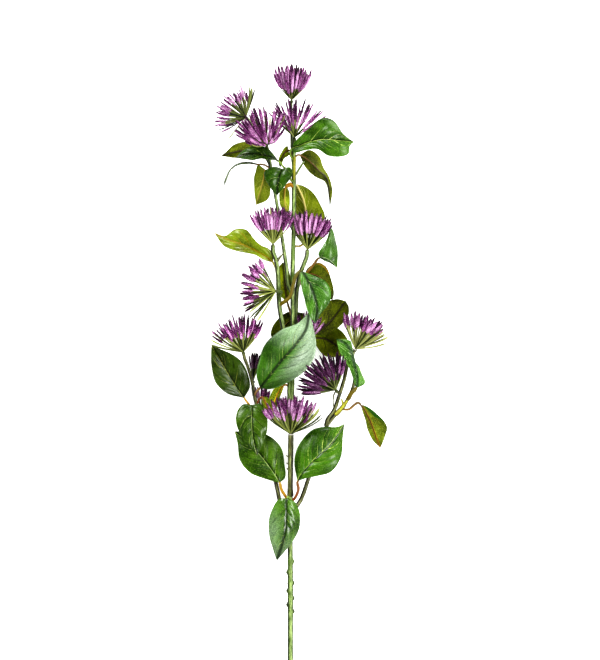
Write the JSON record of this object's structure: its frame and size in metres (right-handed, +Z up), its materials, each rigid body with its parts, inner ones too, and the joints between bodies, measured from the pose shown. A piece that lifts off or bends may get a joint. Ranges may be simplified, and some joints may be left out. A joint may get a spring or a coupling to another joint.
{
  "type": "centaurea spray",
  "caption": "Cut centaurea spray lying on its side: knobbly main stem with branches, pointed oval leaves and tufted purple blooms of clubbed spikes",
  "frame": {"origin": "on the surface the spray lies on, under the middle of its bounding box", "axes": "+Y runs along the main stem from its cut end to the flowers, +X to the right seen from above with the flowers away from the viewer, +Z up from the surface"},
  "size_m": [0.1778, 0.6994, 0.1061],
  "materials": {
    "stem": "satin light green",
    "leaf": "glossy deep green above, olive below",
    "bloom": "matt beaded purple clubs on yellow-green filaments"
  },
  "bodies": {
    "root": {"main_stem": "stem", "left_branch": "stem", "right_branch": "stem", "side_branch": "stem", "bloom_stalk_01": "stem", "bloom_stalk_02": "stem", "bloom_stalk_03": "stem", "bloom_stalk_05": "stem", "bloom_stalk_06": "stem", "bloom_stalk_07": "stem", "bloom_stalk_10": "stem", "bloom_stalk_11": "stem", "bloom_stalk_12": "stem", "bloom_stalk_13": "stem", "bloom_stalk_14": "stem", "leaf_01": "leaf", "leaf_02": "leaf", "leaf_03": "leaf", "leaf_04": "leaf", "leaf_05": "leaf", "leaf_06": "leaf", "leaf_07": "leaf", "leaf_08": "leaf", "leaf_09": "leaf", "leaf_10": "leaf", "leaf_11": "leaf", "leaf_12": "leaf", "leaf_13": "leaf", "leaf_14": "leaf", "leaf_15": "leaf", "leaf_16": "leaf", "leaf_17": "leaf", "leaf_18": "leaf", "leaf_19": "leaf", "leaf_20": "leaf", "leaf_21": "leaf", "leaf_22": "leaf", "leaf_23": "leaf", "leaf_24": "leaf", "leaf_25": "leaf", "leaf_26": "leaf", "leaf_27": "leaf", "leaf_28": "leaf", "bloom_01": "bloom", "bloom_02": "bloom", "bloom_03": "bloom", "bloom_04": "bloom", "bloom_05": "bloom", "bloom_06": "bloom", "bloom_07": "bloom", "bloom_08": "bloom", "bloom_09": "bloom", "bloom_10": "bloom", "bloom_11": "bloom", "bloom_12": "bloom", "bloom_13": "bloom", "bloom_14": "bloom"}
  },
  "joints": []
}
